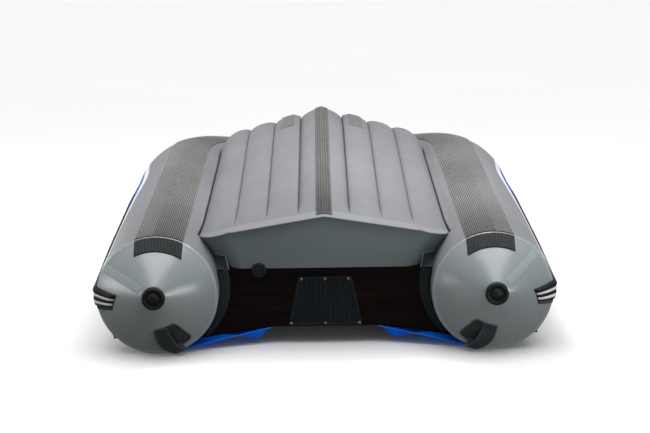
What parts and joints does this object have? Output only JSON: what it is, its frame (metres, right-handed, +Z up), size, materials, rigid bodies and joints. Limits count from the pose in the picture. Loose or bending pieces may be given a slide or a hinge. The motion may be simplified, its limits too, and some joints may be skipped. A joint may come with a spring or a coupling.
{
  "type": "inflatable motor boat with transom",
  "caption": "Inflatable motor boat turned upside down: U-shaped air tubes with stern cones, V-shaped air bottom, wooden transom with motor plate, sliding benches and swivelling oarlocks.",
  "frame": {"origin": "on the floor under the middle of the boat's length and beam, as it lies upside down", "axes": "+X to the boat's right as seen from astern, +Y towards the bow, +Z up, which is towards the keel"},
  "size_m": [1.746, 3.4012, 0.7159],
  "materials": {
    "tube_fabric": "calendered PVC fabric, satin, light grey",
    "cone_fabric": "calendered PVC fabric, satin, cool grey",
    "bottom_fabric": "calendered PVC fabric, satin, light grey with seams",
    "panel_fabric": "coated fabric, dark grey",
    "strip_rubber": "ribbed rubber strip, worn grey",
    "pad_rubber": "ribbed rubber, dark grey",
    "strake_rubber": "extruded rubber, black with white stripes",
    "transom_panel": "dark varnished marine plywood",
    "plate_plastic": "ribbed black plastic",
    "black_rubber": "moulded rubber, satin",
    "blue_fabric": "coated PVC fabric, bright blue",
    "black_cord": "braided polyester rope",
    "grey_nylon": "moulded nylon",
    "bench_wood": "varnished plywood"
  },
  "bodies": {
    "hull": {"side_tube_left": "tube_fabric", "side_tube_right": "tube_fabric", "bow_tube": "tube_fabric", "stern_cone_left": "cone_fabric", "stern_cone_right": "cone_fabric", "cone_cap_left": "black_rubber", "cone_cap_right": "black_rubber", "inflatable_bottom": "bottom_fabric", "stern_panel": "panel_fabric", "keel_guard": "strip_rubber", "lobe_guard_left": "strip_rubber", "lobe_guard_right": "strip_rubber", "tube_guard_left": "strip_rubber", "tube_guard_right": "strip_rubber", "cone_pad_left": "pad_rubber", "cone_pad_right": "pad_rubber", "rub_strake": "strake_rubber", "transom_board": "transom_panel", "motor_plate_outer": "plate_plastic", "motor_plate_inner": "plate_plastic", "transom_holder_left": "black_rubber", "transom_holder_right": "black_rubber", "transom_wing_left": "blue_fabric", "transom_wing_right": "blue_fabric", "drain_valve": "black_rubber", "stern_lug_left": "black_rubber", "stern_lug_right": "black_rubber", "side_handle_left": "black_rubber", "side_handle_right": "black_rubber", "bow_handle": "black_rubber", "towing_ring_left": "black_rubber", "towing_ring_right": "black_rubber", "lifeline_left": "black_cord", "lifeline_right": "black_cord", "air_valve_left": "grey_nylon", "air_valve_right": "grey_nylon", "air_valve_bow": "grey_nylon", "bench_rail_left": "black_rubber", "bench_rail_right": "black_rubber", "oarlock_base_left": "black_rubber", "oarlock_base_right": "black_rubber"},
    "bench_rear": {"bench_rear": "bench_wood"},
    "bench_front": {"bench_front": "bench_wood"},
    "oarlock_left": {"oarlock_left": "grey_nylon"},
    "oarlock_right": {"oarlock_right": "grey_nylon"}
  },
  "joints": [
    {"name": "rear_bench_slide", "type": "slide", "parent": "hull", "child": "bench_rear", "axis": [0, 0.9976, 0.0695], "range_m": [-0.24, 0.21]},
    {"name": "front_bench_slide", "type": "slide", "parent": "hull", "child": "bench_front", "axis": [0, 0.9976, 0.0695], "range_m": [-0.3, 0.05]},
    {"name": "left_oarlock_swivel", "type": "hinge", "parent": "hull", "child": "oarlock_left", "pos_m": [-0.622, -0.31132, 0.06316], "axis": [0, -0.0695, 0.9976], "range_deg": [-90, 90]},
    {"name": "right_oarlock_swivel", "type": "hinge", "parent": "hull", "child": "oarlock_right", "pos_m": [0.622, -0.31132, 0.06316], "axis": [0, -0.0695, 0.9976], "range_deg": [-90, 90]}
  ]
}
